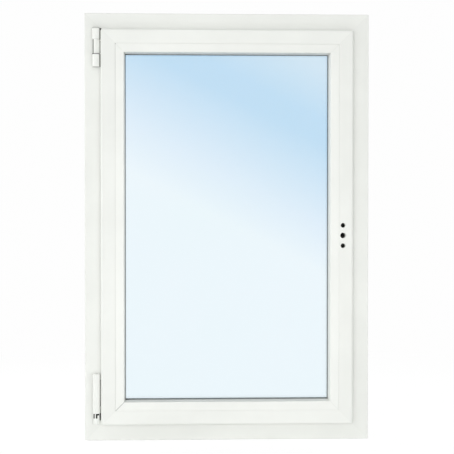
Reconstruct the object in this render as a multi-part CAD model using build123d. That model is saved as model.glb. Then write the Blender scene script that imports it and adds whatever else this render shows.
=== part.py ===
from build123d import *
import math
import os

# A single-sash white PVC window that opens inward, seen closed. Millimetres.
# The origin is the middle of the frame's underside. X runs along the sill, Z runs up,
# and the room is on the -Y side.
#
# Sections are drawn in two directions that all four sides share: u runs inward from the
# frame's outer edge, and v runs outward, to the weather, from the frame's room face.

# Overall sizes
WIDTH = 600.0
HEIGHT = 900.0
FRAME_DEPTH = 70.0

# Walls of the hollow sections
OUTER_WALL = 2.8
INNER_WEB = 2.0

# Frame section
FRAME_VISIBLE = 34.0
SASH_OVERLAP = 8.5
UPSTAND_HEIGHT = 21.5
UPSTAND_THICKNESS = 14.0
UPSTAND_SLOPE = 4.0
FRAME_EDGE_ROUND = 1.5
ANCHOR_GROOVE_MOUTH = 4.0
ANCHOR_GROOVE_FLOOR = 6.0
ANCHOR_GROOVE_DEPTH = 4.0
ANCHOR_GROOVE_INSET = 11.0

# Sash section
SASH_PROUD = 18.0
LIP_THICKNESS = 15.0
REBATE_GAP = 4.0
SASH_BODY_WIDTH = 18.0
SASH_EDGE_ROUND = 5.0
SASH_CORNER_ROUND = 6.0
WEATHER_GAP = 4.0
GLAZING_UPSTAND_THICKNESS = 15.0
GLAZING_UPSTAND_SLOPE = 5.0
BEAD_WIDTH = 20.5
HARDWARE_GROOVE_WIDTH = 16.0
HARDWARE_GROOVE_DEPTH = 2.6
HARDWARE_GROOVE_START = 2.0

# Glazing beads
BEAD_STEP = 0.5
BEAD_GAP = 0.15
BEAD_MITRE_GAP = 0.1
BEAD_WALL = 2.0
BEAD_EDGE_ROUND = 2.0
BEAD_SLOPE = 2.0
BEAD_NOSE = 1.4
BEAD_NOSE_WIDTH = 2.4
BEAD_NOSE_FROM_FACE = 6.0
BEAD_NOSE_PLAY = 0.2

# Glazing unit
PANE_THICKNESS = 4.0
PANE_SPACING = 16.0
GASKET_THICKNESS = 3.0
GLASS_EDGE_CLEARANCE = 5.0
SPACER_INSET = 1.0
SPACER_HEIGHT = 12.0
GASKET_SHOWING = 1.0
OUTER_GASKET_SETBACK = 1.0
GASKET_HEIGHT = 9.8
GASKET_TIP_ROUND = 1.0
BLOCK_LENGTH = 100.0
BLOCK_FROM_CORNER = 60.0
BLOCK_CLEARANCE = 0.1

# Weather gaskets
FRAME_GASKET_WIDTH = 7.5
FRAME_GASKET_FROM_TIP = 3.5
SASH_GASKET_WIDTH = 5.0
SASH_GASKET_FROM_EDGE = 2.0
GASKET_FOOT_WIDTH = 2.6
GASKET_FOOT_DEPTH = 2.4
GASKET_FOOT_PLAY = 0.2
GASKET_SQUEEZE = 0.15

# Handle holes and the gear behind them
SPINDLE_HEIGHT = 433.0
SPINDLE_BACKSET = 9.5
SPINDLE_HOLE = 12.0
SPINDLE_HOLE_BEHIND = 11.0
HANDLE_SCREW_HOLE = 10.0
HANDLE_SCREW_PITCH = 43.0
GEARBOX_LENGTH = 120.0
GEARBOX_THICKNESS = 12.0
GEARBOX_PLAY = 0.4
GEARBOX_WALL_LEFT = 2.0
GEARBOX_SCREW_HOLE = 6.0
FACEPLATE_LENGTH = 640.0
FACEPLATE_THICKNESS = 2.0
FACEPLATE_PLAY = 0.1
FOLLOWER_DIAMETER = 11.0
FOLLOWER_PLAY = 0.1
SPINDLE_SQUARE = 7.0

# Hinges, all on one upright axis
HINGE_AXIS_INSET = 24.5
HINGE_KNUCKLE = 15.6
HINGE_EYE = 9.6
HINGE_CHEEK = 5.0
HINGE_CHEEK_BACK = 1.2
HINGE_PIN = 6.0
HINGE_PIN_PLAY = 0.1
HINGE_JOINT_GAP = 0.3
HINGE_PLATE_THICKNESS = 3.0
HINGE_PLATE_WIDTH = 14.0
HINGE_TONGUE_THICKNESS = 2.4
HINGE_TONGUE_UNDER_LIP = 1.5
HINGE_NECK_WIDTH = 9.0
HINGE_LEAF_THICKNESS = 2.5
HINGE_LEAF_CLEARANCE = 0.25
HINGE_LEAF_HEIGHT = 26.0
HINGE_LEAF_FLANGE = 18.0
HINGE_EYE_NECK = 3.2
HINGE_DOME = 2.5
TOP_HINGE_TOP = 32.0
TOP_KNUCKLE_LENGTH = 24.0
TOP_EYE_LENGTH = 30.0
LOW_KNUCKLE_LENGTH = 27.0
LOW_KNUCKLE_GAP = 0.6
COVER_BOTTOM = 59.0
COVER_TOP = 142.5
COVER_WALL = 1.9
COVER_PLAY = 0.2
COVER_WRAP = 2.0
CORNER_LEAF_HEIGHT = 56.0
CORNER_PIN = 7.0
CORNER_PIN_ABOVE_CUP = 30.0
BEARING_BOTTOM = 37.0
BEARING_CUP = 14.0
BEARING_CUP_WALL = 1.2
BEARING_CUP_HEIGHT = 9.2
BEARING_CUP_NOTCH = 2.8
BEARING_BASE_HEIGHT = 12.0
BEARING_FOOT_HEIGHT = 6.6
BEARING_FOOT_PLAY = 0.4
BEARING_SLOT = 3.2
BEARING_LEFT_SLOT = -4.9
BEARING_RIGHT_SLOT = 0.9

# Drainage on the weather side
DRAIN_SPREAD = 150.0
DRAIN_HEIGHT = 18.0
DRAIN_SLOT_LENGTH = 28.0
DRAIN_SLOT_HEIGHT = 5.0
DRAIN_COVER_LENGTH = 42.0
DRAIN_COVER_HEIGHT = 14.0
DRAIN_COVER_THICKNESS = 4.0
DRAIN_COVER_WALL = 1.5

# Levels that follow, all in u or v
ROOM_FACE = -FRAME_DEPTH / 2
FRAME_LEG = FRAME_VISIBLE + SASH_OVERLAP
UPSTAND_TIP = FRAME_LEG + UPSTAND_HEIGHT
UPSTAND_FACE = FRAME_DEPTH - UPSTAND_THICKNESS
SASH_FACE = -SASH_PROUD
SASH_BACK = UPSTAND_FACE - WEATHER_GAP
LIP_BACK = SASH_FACE + LIP_THICKNESS
BODY_EDGE = FRAME_LEG + REBATE_GAP
GLAZING_REBATE = BODY_EDGE + SASH_BODY_WIDTH
SIGHT_LINE = GLAZING_REBATE + BEAD_WIDTH
NOSE_FRONT = SASH_FACE + BEAD_NOSE_FROM_FACE
NOSE_BACK = NOSE_FRONT + BEAD_NOSE_WIDTH
NOSE_GROOVE = GLAZING_REBATE + BEAD_GAP - BEAD_NOSE - BEAD_NOSE_PLAY
GLAZING_UPSTAND = SASH_BACK - GLAZING_UPSTAND_THICKNESS
OUTER_PANE_BACK = GLAZING_UPSTAND - GASKET_THICKNESS
OUTER_PANE_FRONT = OUTER_PANE_BACK - PANE_THICKNESS
INNER_PANE_BACK = OUTER_PANE_FRONT - PANE_SPACING
INNER_PANE_FRONT = INNER_PANE_BACK - PANE_THICKNESS
BEAD_BACK = INNER_PANE_FRONT - GASKET_THICKNESS
GLASS_EDGE = GLAZING_REBATE + GLASS_EDGE_CLEARANCE
GROOVE_SEAT = BODY_EDGE + HARDWARE_GROOVE_DEPTH
GROOVE_END = HARDWARE_GROOVE_START + HARDWARE_GROOVE_WIDTH
GROOVE_MIDDLE = HARDWARE_GROOVE_START + HARDWARE_GROOVE_WIDTH / 2
SPINDLE_INSET = BODY_EDGE + SPINDLE_BACKSET
SPINDLE_X = WIDTH / 2 - SPINDLE_INSET
HINGE_X = -WIDTH / 2 + HINGE_AXIS_INSET
HINGE_Y = ROOM_FACE + SASH_FACE + HINGE_KNUCKLE / 2
SASH_EDGE_X = -WIDTH / 2 + FRAME_VISIBLE

SIDES = {
    "bottom": Pos(0, 0, 0),
    "top": Pos(0, 0, HEIGHT) * Rot(0, 180, 0),
    "hinge": Pos(-WIDTH / 2, 0, HEIGHT / 2) * Rot(0, 90, 0),
    "lock": Pos(WIDTH / 2, 0, HEIGHT / 2) * Rot(0, -90, 0),
}


def side_length(side):
    return WIDTH if side in ("bottom", "top") else HEIGHT


def upright_plane(v):
    """The plane at a depth in v, centred on the window and facing the room."""
    return Plane(origin=(0, ROOM_FACE + v, HEIGHT / 2), x_dir=(1, 0, 0), z_dir=(0, -1, 0))


def outline(*corners):
    """A section through (u, v) corners, where a third number rounds that corner."""
    points = [(corner[0], corner[1]) for corner in corners]
    radii = [corner[2] if len(corner) > 2 else 0 for corner in corners]
    return make_face(FilletPolyline(*points, radius=radii, close=True))


def chamber(u_from, v_from, u_to, v_to):
    """A rectangular hollow in a section."""
    middle = Pos((u_from + u_to) / 2, (v_from + v_to) / 2)
    return middle * Rectangle(u_to - u_from, v_to - v_from)


def mitred_bar(section, side, mitre_gap=0.0):
    """Carry a section along one side and cut both its ends at 45 degrees."""
    length = side_length(side)
    section_plane = Plane(origin=(length / 2, ROOM_FACE, 0), x_dir=(0, 0, 1), z_dir=(-1, 0, 0))
    straight = extrude(section_plane * section, amount=length)
    half = length / 2 - mitre_gap
    reach = min(WIDTH, HEIGHT) / 2 - 1
    span = Polyline((-half, 0), (half, 0), (half - reach, reach), (reach - half, reach), close=True)
    mitre = extrude(Plane.XZ * make_face(span), amount=2 * FRAME_DEPTH, both=True)
    return SIDES[side] * (straight & mitre)


def ring(section):
    """Four mitred bars of one section, joined to a closed ring."""
    bars = [mitred_bar(section, side) for side in SIDES]
    return bars[0] + bars[1:]


def plate_ring(u_from, u_to, v_from, v_to):
    """A flat ring between two insets from the frame's outer edge."""
    outer = Rectangle(WIDTH - 2 * u_from, HEIGHT - 2 * u_from)
    inner = Rectangle(WIDTH - 2 * u_to, HEIGHT - 2 * u_to)
    return extrude(upright_plane(v_to) * (outer - inner), amount=v_to - v_from)


def block(x_from, x_to, v_from, v_to, z_from, z_to):
    """A plain block given by its limits, with its depth in v."""
    size = (x_to - x_from, v_to - v_from, z_to - z_from)
    centre = ((x_from + x_to) / 2, ROOM_FACE + (v_from + v_to) / 2, (z_from + z_to) / 2)
    return Pos(*centre) * Box(*size)


def hinge_round(diameter, z_from, z_to):
    """An upright cylinder on the hinge axis."""
    return Pos(HINGE_X, HINGE_Y, (z_from + z_to) / 2) * Cylinder(diameter / 2, z_to - z_from)


def domed_round(diameter, z_from, z_to):
    """An upright cylinder on the hinge axis, its top edge eased along a quarter circle."""
    radius = diameter / 2
    dome = []
    for angle in (0, 30, 60, 90):
        inset = HINGE_DOME * (1 - math.cos(math.radians(angle)))
        rise = HINGE_DOME * math.sin(math.radians(angle))
        dome.append((radius - inset, z_to - HINGE_DOME + rise))
    profile = Polyline((0, z_from), (radius, z_from), *dome, (0, z_to), close=True)
    return Pos(HINGE_X, HINGE_Y, 0) * revolve(Plane.XZ * make_face(profile), Axis.Z)


def room_hole(diameter, z, v_to):
    """A round tool along Y at the spindle's place, from in front of the sash to a depth."""
    start = Pos(SPINDLE_X, ROOM_FACE + SASH_FACE - 1, z) * Rot(-90, 0, 0)
    depth = v_to - SASH_FACE + 1
    return start * Cylinder(diameter / 2, depth, align=(Align.CENTER, Align.CENTER, Align.MIN))


def anchor_groove(v_middle):
    """An undercut groove in the frame's outer edge, where fixing clips snap in."""
    mouth = ANCHOR_GROOVE_MOUTH / 2
    floor = ANCHOR_GROOVE_FLOOR / 2
    points = [(-1, v_middle - mouth), (0, v_middle - mouth), (ANCHOR_GROOVE_DEPTH, v_middle - floor)]
    mirrored = [(u, 2 * v_middle - v) for u, v in reversed(points)]
    return make_face(Polyline(*points, *mirrored, close=True))


def gasket_foot(u_middle, v_from, v_to, play=0.0):
    """The foot of a push-in gasket, or with play the groove that takes it."""
    width = GASKET_FOOT_WIDTH + play
    return Pos(u_middle, (v_from + v_to) / 2) * Rectangle(width, abs(v_to - v_from))


FRAME_GASKET_MIDDLE = UPSTAND_TIP - FRAME_GASKET_FROM_TIP - FRAME_GASKET_WIDTH / 2
SASH_GASKET_MIDDLE = FRAME_VISIBLE + SASH_GASKET_FROM_EDGE + SASH_GASKET_WIDTH / 2
FOOT_GROOVE_DEPTH = GASKET_FOOT_DEPTH + GASKET_FOOT_PLAY


def frame_section():
    """The outer frame: a hollow leg on the room side and an upstand on the weather side."""
    section = outline(
        (0, 0, FRAME_EDGE_ROUND),
        (FRAME_LEG, 0, FRAME_EDGE_ROUND),
        (FRAME_LEG, UPSTAND_FACE),
        (UPSTAND_TIP, UPSTAND_FACE, FRAME_EDGE_ROUND),
        (UPSTAND_TIP - UPSTAND_SLOPE, FRAME_DEPTH, FRAME_EDGE_ROUND),
        (0, FRAME_DEPTH, FRAME_EDGE_ROUND),
    )
    leg_end = FRAME_LEG - OUTER_WALL
    clear_of_grooves = ANCHOR_GROOVE_DEPTH + OUTER_WALL
    weather_row = UPSTAND_FACE + OUTER_WALL
    steel_from = ANCHOR_GROOVE_INSET + ANCHOR_GROOVE_FLOOR / 2 + INNER_WEB
    steel_to = weather_row - 3 * INNER_WEB - ANCHOR_GROOVE_INSET
    gasket_side = FRAME_GASKET_MIDDLE - GASKET_FOOT_WIDTH / 2 - OUTER_WALL
    hollows = [
        chamber(clear_of_grooves, OUTER_WALL, leg_end, steel_from - INNER_WEB),
        chamber(OUTER_WALL, steel_from, leg_end, steel_to),
        chamber(OUTER_WALL, steel_to + INNER_WEB, leg_end, weather_row - INNER_WEB),
        chamber(clear_of_grooves, weather_row, gasket_side, FRAME_DEPTH - OUTER_WALL),
    ]
    groove = gasket_foot(
        FRAME_GASKET_MIDDLE, UPSTAND_FACE, UPSTAND_FACE + FOOT_GROOVE_DEPTH, GASKET_FOOT_PLAY
    )
    grooves = [anchor_groove(ANCHOR_GROOVE_INSET), anchor_groove(FRAME_DEPTH - ANCHOR_GROOVE_INSET)]
    return section - hollows - grooves - groove


def sash_section():
    """The sash: a rounded lip over the frame, a hollow body and an upstand behind the glass."""
    section = outline(
        (FRAME_VISIBLE, SASH_FACE, SASH_EDGE_ROUND),
        (GLAZING_REBATE, SASH_FACE, BEAD_GAP),
        (GLAZING_REBATE, NOSE_FRONT - BEAD_NOSE_PLAY),
        (NOSE_GROOVE, NOSE_FRONT - BEAD_NOSE_PLAY),
        (NOSE_GROOVE, NOSE_BACK + BEAD_NOSE_PLAY),
        (GLAZING_REBATE, NOSE_BACK + BEAD_NOSE_PLAY),
        (GLAZING_REBATE, GLAZING_UPSTAND),
        (SIGHT_LINE, GLAZING_UPSTAND, FRAME_EDGE_ROUND),
        (SIGHT_LINE - GLAZING_UPSTAND_SLOPE, SASH_BACK, FRAME_EDGE_ROUND),
        (BODY_EDGE, SASH_BACK, 1),
        (BODY_EDGE, GROOVE_END),
        (GROOVE_SEAT, GROOVE_END),
        (GROOVE_SEAT, HARDWARE_GROOVE_START),
        (BODY_EDGE, HARDWARE_GROOVE_START),
        (BODY_EDGE, LIP_BACK),
        (FRAME_VISIBLE, LIP_BACK, 1),
    )
    lip_start = FRAME_VISIBLE + OUTER_WALL
    lip_web = BODY_EDGE + INNER_WEB / 2
    body_end = GLAZING_REBATE - OUTER_WALL
    face_row = SASH_FACE + OUTER_WALL
    groove_floor = LIP_BACK - FOOT_GROOVE_DEPTH - INNER_WEB
    lip_row = LIP_BACK - OUTER_WALL
    behind_groove = GROOVE_SEAT + OUTER_WALL
    beside_groove = GROOVE_END + INNER_WEB
    upstand_row = GLAZING_UPSTAND + OUTER_WALL
    upstand_end = SIGHT_LINE - GLAZING_UPSTAND_SLOPE - OUTER_WALL
    hollows = [
        chamber(lip_start, face_row, lip_web - INNER_WEB / 2, groove_floor),
        chamber(lip_web + INNER_WEB / 2, face_row, NOSE_GROOVE - INNER_WEB, lip_row),
        chamber(behind_groove, lip_row + INNER_WEB, body_end, GROOVE_END),
        chamber(BODY_EDGE + OUTER_WALL, beside_groove, body_end, upstand_row - INNER_WEB),
        chamber(BODY_EDGE + OUTER_WALL, upstand_row, upstand_end, SASH_BACK - OUTER_WALL),
    ]
    groove = gasket_foot(SASH_GASKET_MIDDLE, LIP_BACK - FOOT_GROOVE_DEPTH, LIP_BACK, GASKET_FOOT_PLAY)
    return section - hollows - groove


def bead_section():
    """The bead that holds the glass from the room side, with the nose that snaps into the sash."""
    start = GLAZING_REBATE + BEAD_GAP
    face = SASH_FACE + BEAD_STEP
    face_end = SIGHT_LINE - BEAD_SLOPE
    section = outline(
        (start, face, BEAD_GAP),
        (face_end, face, BEAD_EDGE_ROUND),
        (SIGHT_LINE, BEAD_BACK, 1),
        (start, BEAD_BACK, 1),
        (start, NOSE_BACK),
        (start - BEAD_NOSE, NOSE_BACK, BEAD_NOSE / 2),
        (start - BEAD_NOSE, NOSE_FRONT, BEAD_NOSE / 2),
        (start, NOSE_FRONT),
    )
    return section - chamber(
        start + BEAD_WALL, face + BEAD_WALL, face_end - BEAD_WALL, BEAD_BACK - BEAD_WALL
    )


def frame_gasket_section():
    """A bulb on a foot that presses against the back of the sash."""
    half = FRAME_GASKET_WIDTH / 2
    bulb = outline(
        (FRAME_GASKET_MIDDLE - half, UPSTAND_FACE),
        (FRAME_GASKET_MIDDLE - half, SASH_BACK + GASKET_SQUEEZE, 2),
        (FRAME_GASKET_MIDDLE + half, SASH_BACK + GASKET_SQUEEZE, 2),
        (FRAME_GASKET_MIDDLE + half, UPSTAND_FACE),
    )
    return bulb + gasket_foot(FRAME_GASKET_MIDDLE, UPSTAND_FACE, UPSTAND_FACE + GASKET_FOOT_DEPTH)


def sash_gasket_section():
    """The lip seal between the sash's overlap and the frame's room face."""
    half = SASH_GASKET_WIDTH / 2
    bulb = outline(
        (SASH_GASKET_MIDDLE - half, LIP_BACK),
        (SASH_GASKET_MIDDLE + half, LIP_BACK),
        (SASH_GASKET_MIDDLE + half, -GASKET_SQUEEZE, 1),
        (SASH_GASKET_MIDDLE - half, -GASKET_SQUEEZE, 1),
    )
    return bulb + gasket_foot(SASH_GASKET_MIDDLE, LIP_BACK - GASKET_FOOT_DEPTH, LIP_BACK)


def glazing_gasket(tip, v_from, v_to):
    """A seal between a pane and the plastic, with its rounded edge at the tip."""
    root = tip - GASKET_HEIGHT
    return ring(outline(
        (root, v_from),
        (tip, v_from, GASKET_TIP_ROUND),
        (tip, v_to, GASKET_TIP_ROUND),
        (root, v_to),
    ))


def pane(v_from):
    inset = GLASS_EDGE
    sheet = Rectangle(WIDTH - 2 * inset, HEIGHT - 2 * inset)
    return extrude(upright_plane(v_from + PANE_THICKNESS) * sheet, amount=PANE_THICKNESS)


def glazing_blocks():
    """Packers under, over and beside the glazing unit that centre it in the sash."""
    low = GLAZING_REBATE + BLOCK_CLEARANCE
    high = GLASS_EDGE - BLOCK_CLEARANCE
    depth = (INNER_PANE_FRONT, OUTER_PANE_BACK)
    blocks = []
    for side in SIDES:
        offset = side_length(side) / 2 - GLASS_EDGE - BLOCK_FROM_CORNER - BLOCK_LENGTH / 2
        for place in (-offset, offset):
            packer = block(place - BLOCK_LENGTH / 2, place + BLOCK_LENGTH / 2, *depth, low, high)
            blocks.append(SIDES[side] * packer)
    return Compound(children=blocks)


def drain_slots():
    """Slots in the sill's weather face that let rain out of its outer chamber."""
    half = DRAIN_SLOT_LENGTH / 2
    low = DRAIN_HEIGHT - DRAIN_SLOT_HEIGHT / 2
    high = DRAIN_HEIGHT + DRAIN_SLOT_HEIGHT / 2
    depth = (FRAME_DEPTH - OUTER_WALL - 1, FRAME_DEPTH + 1)
    return [block(x - half, x + half, *depth, low, high) for x in (-DRAIN_SPREAD, DRAIN_SPREAD)]


def drain_cover(x):
    """A small hood over a drain slot, open along its underside."""
    half = DRAIN_COVER_LENGTH / 2
    low = DRAIN_HEIGHT - DRAIN_COVER_HEIGHT / 2
    high = DRAIN_HEIGHT + DRAIN_COVER_HEIGHT / 2
    front = FRAME_DEPTH + DRAIN_COVER_THICKNESS
    hood = block(x - half, x + half, FRAME_DEPTH, front, low, high)
    outer_edges = hood.edges().filter_by_position(Axis.Y, ROOM_FACE + front, ROOM_FACE + front)
    hood = fillet(outer_edges, DRAIN_COVER_WALL)
    wall = DRAIN_COVER_WALL
    hollow = block(x - half + wall, x + half - wall, FRAME_DEPTH - 1, front - wall, low - 1, high - wall)
    return hood - hollow


def sash_bar(side):
    """One welded side of the sash, with the sash's outer corners rounded off."""
    bar = mitred_bar(sash_section(), side)
    face = RectangleRounded(
        WIDTH - 2 * FRAME_VISIBLE, HEIGHT - 2 * FRAME_VISIBLE, SASH_CORNER_ROUND
    )
    envelope = extrude(upright_plane(0) * face, amount=2 * FRAME_DEPTH, both=True)
    return bar & envelope


def handle_holes(depth):
    """The spindle hole, stepped behind the face wall, and the screw holes above and below it."""
    pitch = HANDLE_SCREW_PITCH / 2
    tools = [
        room_hole(SPINDLE_HOLE, SPINDLE_HEIGHT, SASH_FACE + OUTER_WALL),
        room_hole(SPINDLE_HOLE_BEHIND, SPINDLE_HEIGHT, depth),
    ]
    for z in (SPINDLE_HEIGHT - pitch, SPINDLE_HEIGHT + pitch):
        tools.append(room_hole(HANDLE_SCREW_HOLE, z, depth))
    return tools


GEARBOX_FRONT = GROOVE_MIDDLE - GEARBOX_THICKNESS / 2
GEARBOX_BACK = GROOVE_MIDDLE + GEARBOX_THICKNESS / 2
GEARBOX_END = GLAZING_REBATE - GEARBOX_WALL_LEFT - GEARBOX_PLAY


def sash_lock_stile():
    """The stile with the handle holes and a pocket routed for the gearbox."""
    play = GEARBOX_PLAY
    half = GEARBOX_LENGTH / 2 + play
    pocket = block(
        WIDTH / 2 - GEARBOX_END - play,
        WIDTH / 2 - GROOVE_SEAT + 1,
        GEARBOX_FRONT - play,
        GEARBOX_BACK + play,
        SPINDLE_HEIGHT - half,
        SPINDLE_HEIGHT + half,
    )
    return sash_bar("lock") - pocket - handle_holes(GEARBOX_FRONT)


def lock_gearbox():
    """The gear case behind the handle, on the faceplate that fills the hardware groove."""
    half = GEARBOX_LENGTH / 2
    seat = GROOVE_SEAT - FACEPLATE_PLAY
    case = block(
        WIDTH / 2 - GEARBOX_END,
        WIDTH / 2 - seat,
        GEARBOX_FRONT,
        GEARBOX_BACK,
        SPINDLE_HEIGHT - half,
        SPINDLE_HEIGHT + half,
    )
    faceplate = block(
        WIDTH / 2 - seat,
        WIDTH / 2 - seat + FACEPLATE_THICKNESS,
        HARDWARE_GROOVE_START + FACEPLATE_PLAY,
        GROOVE_END - FACEPLATE_PLAY,
        SPINDLE_HEIGHT - FACEPLATE_LENGTH / 2,
        SPINDLE_HEIGHT + FACEPLATE_LENGTH / 2,
    )
    pitch = HANDLE_SCREW_PITCH / 2
    bore = FOLLOWER_DIAMETER + 2 * FOLLOWER_PLAY
    tools = [room_hole(bore, SPINDLE_HEIGHT, GEARBOX_BACK + 1)]
    for z in (SPINDLE_HEIGHT - pitch, SPINDLE_HEIGHT + pitch):
        tools.append(room_hole(GEARBOX_SCREW_HOLE, z, GEARBOX_BACK + 1))
    return case + faceplate - tools


def gear_follower():
    """The hub that the handle's square spindle turns."""
    start = Pos(SPINDLE_X, ROOM_FACE + GEARBOX_FRONT, SPINDLE_HEIGHT) * Rot(-90, 0, 0)
    from_front = (Align.CENTER, Align.CENTER, Align.MIN)
    hub = Cylinder(FOLLOWER_DIAMETER / 2, GEARBOX_THICKNESS, align=from_front)
    socket = Box(SPINDLE_SQUARE, SPINDLE_SQUARE, GEARBOX_THICKNESS, align=from_front)
    return start * (hub - socket)


TOP_HINGE_Z = HEIGHT - TOP_HINGE_TOP
EYE_TOP = TOP_HINGE_Z - TOP_KNUCKLE_LENGTH
EYE_BOTTOM = EYE_TOP - TOP_EYE_LENGTH
HINGE_LOW_END = EYE_BOTTOM - LOW_KNUCKLE_LENGTH
EYE_MIDDLE = (EYE_TOP + EYE_BOTTOM) / 2
CORNER_LEAF_MIDDLE = (COVER_BOTTOM + COVER_TOP) / 2


def hinge_neck(width, z_from, z_to):
    """The web from a knuckle back to the frame's face."""
    half = width / 2
    return block(HINGE_X - half, HINGE_X + half, HINGE_Y - ROOM_FACE, 0, z_from, z_to)


def hinge_plate(z_from, z_to):
    """The plate screwed to the frame, with a thinner tongue that ends under the sash's lip."""
    half = HINGE_PLATE_WIDTH / 2
    tongue_end = SASH_EDGE_X + HINGE_TONGUE_UNDER_LIP
    plate = block(HINGE_X - half, HINGE_X + half, -HINGE_PLATE_THICKNESS, 0, z_from, z_to)
    return plate + block(HINGE_X, tongue_end, -HINGE_TONGUE_THICKNESS, 0, z_from, z_to)


def hinge_eye(z_from, z_to):
    """The eye round the pin, drawn out towards the sash to a smaller round cheek."""
    cheek_x = (HINGE_KNUCKLE - HINGE_CHEEK) / 2
    cheek = Pos(cheek_x, HINGE_CHEEK_BACK) * Circle(HINGE_CHEEK / 2)
    profile = make_hull(Circle(HINGE_EYE / 2).edges() + cheek.edges())
    return Pos(HINGE_X, HINGE_Y, z_from) * extrude(profile, amount=z_to - z_from)


def hinge_leaf(neck_end, z_middle, height):
    """The cranked leaf that runs behind the sash's lip and along its body."""
    back = -HINGE_LEAF_CLEARANCE
    front = back - HINGE_LEAF_THICKNESS
    neck_x = neck_end - HINGE_EYE_NECK
    body_x = -WIDTH / 2 + BODY_EDGE
    low, high = z_middle - height / 2, z_middle + height / 2
    crank = block(neck_x, body_x, front, back, low, high)
    flange = block(body_x - HINGE_LEAF_THICKNESS, body_x, front, front + HINGE_LEAF_FLANGE, low, high)
    neck = block(neck_x, neck_x + HINGE_EYE_NECK, HINGE_Y - ROOM_FACE, back, low, high)
    return crank + flange + neck


def top_hinge_bracket():
    """Two outer knuckles and the plate on the frame that carries them."""
    upper_end = EYE_TOP + HINGE_JOINT_GAP
    lower_end = EYE_BOTTOM - LOW_KNUCKLE_GAP
    upper = domed_round(HINGE_KNUCKLE, upper_end, TOP_HINGE_Z)
    lower = hinge_round(HINGE_KNUCKLE, HINGE_LOW_END, lower_end)
    necks = [
        hinge_neck(HINGE_NECK_WIDTH, upper_end, TOP_HINGE_Z - HINGE_DOME),
        hinge_neck(HINGE_NECK_WIDTH, HINGE_LOW_END, lower_end),
    ]
    leaf_start = HINGE_X + HINGE_KNUCKLE / 2 - HINGE_EYE_NECK - HINGE_JOINT_GAP
    window = block(
        leaf_start, -WIDTH / 2 + FRAME_LEG, -HINGE_PLATE_THICKNESS - 1, 1, EYE_BOTTOM, EYE_TOP
    )
    pin_hole = hinge_round(
        HINGE_PIN + 2 * HINGE_PIN_PLAY, HINGE_LOW_END - 1, TOP_HINGE_Z - 2 * HINGE_DOME
    )
    return hinge_plate(HINGE_LOW_END, TOP_HINGE_Z) + upper + lower + necks - window - pin_hole


def top_hinge_eye():
    """The narrower middle knuckle and its leaf, fixed to the sash."""
    eye = hinge_eye(EYE_BOTTOM, EYE_TOP)
    leaf = hinge_leaf(HINGE_X + HINGE_KNUCKLE / 2, EYE_MIDDLE, HINGE_LEAF_HEIGHT)
    return eye + leaf - hinge_round(HINGE_PIN + 2 * HINGE_PIN_PLAY, EYE_BOTTOM - 1, EYE_TOP + 1)


def top_hinge_pin():
    return hinge_round(HINGE_PIN, HINGE_LOW_END, TOP_HINGE_Z - 2 * HINGE_DOME)


BARREL_DIAMETER = HINGE_KNUCKLE - 2 * COVER_WALL - 2 * COVER_PLAY
CUP_FLOOR = BEARING_BOTTOM + BEARING_BASE_HEIGHT
CUP_TOP = CUP_FLOOR + BEARING_CUP_HEIGHT
BUSH_TOP = COVER_BOTTOM - HINGE_JOINT_GAP
BARREL_TOP = COVER_TOP - COVER_WALL - COVER_PLAY


def corner_bearing():
    """The bearing on the frame that carries the sash: a foot and a slotted cup on a plate."""
    v_axis = HINGE_Y - ROOM_FACE
    foot = block(
        HINGE_X,
        SASH_EDGE_X - BEARING_FOOT_PLAY,
        v_axis,
        0,
        BEARING_BOTTOM,
        BEARING_BOTTOM + BEARING_FOOT_HEIGHT,
    )
    base = hinge_round(HINGE_PLATE_WIDTH, BEARING_BOTTOM, CUP_FLOOR)
    neck = hinge_neck(HINGE_PLATE_WIDTH, BEARING_BOTTOM, CUP_FLOOR)
    cup = hinge_round(BEARING_CUP, CUP_FLOOR, CUP_TOP)
    cup -= hinge_round(BEARING_CUP - 2 * BEARING_CUP_WALL, CUP_FLOOR, CUP_TOP)
    half = BEARING_SLOT / 2
    slots = []
    for x in (HINGE_X + BEARING_LEFT_SLOT, HINGE_X + BEARING_RIGHT_SLOT):
        slots.append(block(x - half, x + half, SASH_FACE - 1, v_axis, CUP_FLOOR, CUP_TOP))
    notch = block(
        HINGE_X + BEARING_RIGHT_SLOT,
        HINGE_X + BEARING_CUP,
        SASH_FACE - 1,
        v_axis,
        CUP_TOP - BEARING_CUP_NOTCH,
        CUP_TOP,
    )
    pin_hole = hinge_round(CORNER_PIN + 2 * HINGE_PIN_PLAY, CUP_FLOOR - 4, CUP_TOP)
    return hinge_plate(BEARING_BOTTOM, CUP_TOP) + foot + base + neck + (cup - slots - notch) - pin_hole


def corner_bearing_bush():
    """The dark plastic bush inside the cup, around the pivot pin."""
    outer = BEARING_CUP - 2 * BEARING_CUP_WALL - 2 * HINGE_PIN_PLAY
    bush = hinge_round(outer, CUP_FLOOR, BUSH_TOP)
    return bush - hinge_round(CORNER_PIN + 2 * HINGE_PIN_PLAY, CUP_FLOOR, BUSH_TOP)


def corner_pivot_pin():
    return hinge_round(CORNER_PIN, CUP_FLOOR - 4, COVER_BOTTOM + CORNER_PIN_ABOVE_CUP)


def corner_hinge_barrel():
    """The barrel on the sash that turns on the pivot pin, with its cranked leaf."""
    barrel = hinge_round(BARREL_DIAMETER, COVER_BOTTOM, BARREL_TOP)
    neck_end = HINGE_X + BARREL_DIAMETER / 2 - 2 * COVER_PLAY
    leaf = hinge_leaf(neck_end, CORNER_LEAF_MIDDLE, CORNER_LEAF_HEIGHT)
    pin_room = COVER_BOTTOM + CORNER_PIN_ABOVE_CUP + HINGE_JOINT_GAP
    return barrel + leaf - hinge_round(CORNER_PIN + 2 * HINGE_PIN_PLAY, COVER_BOTTOM - 1, pin_room)


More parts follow.
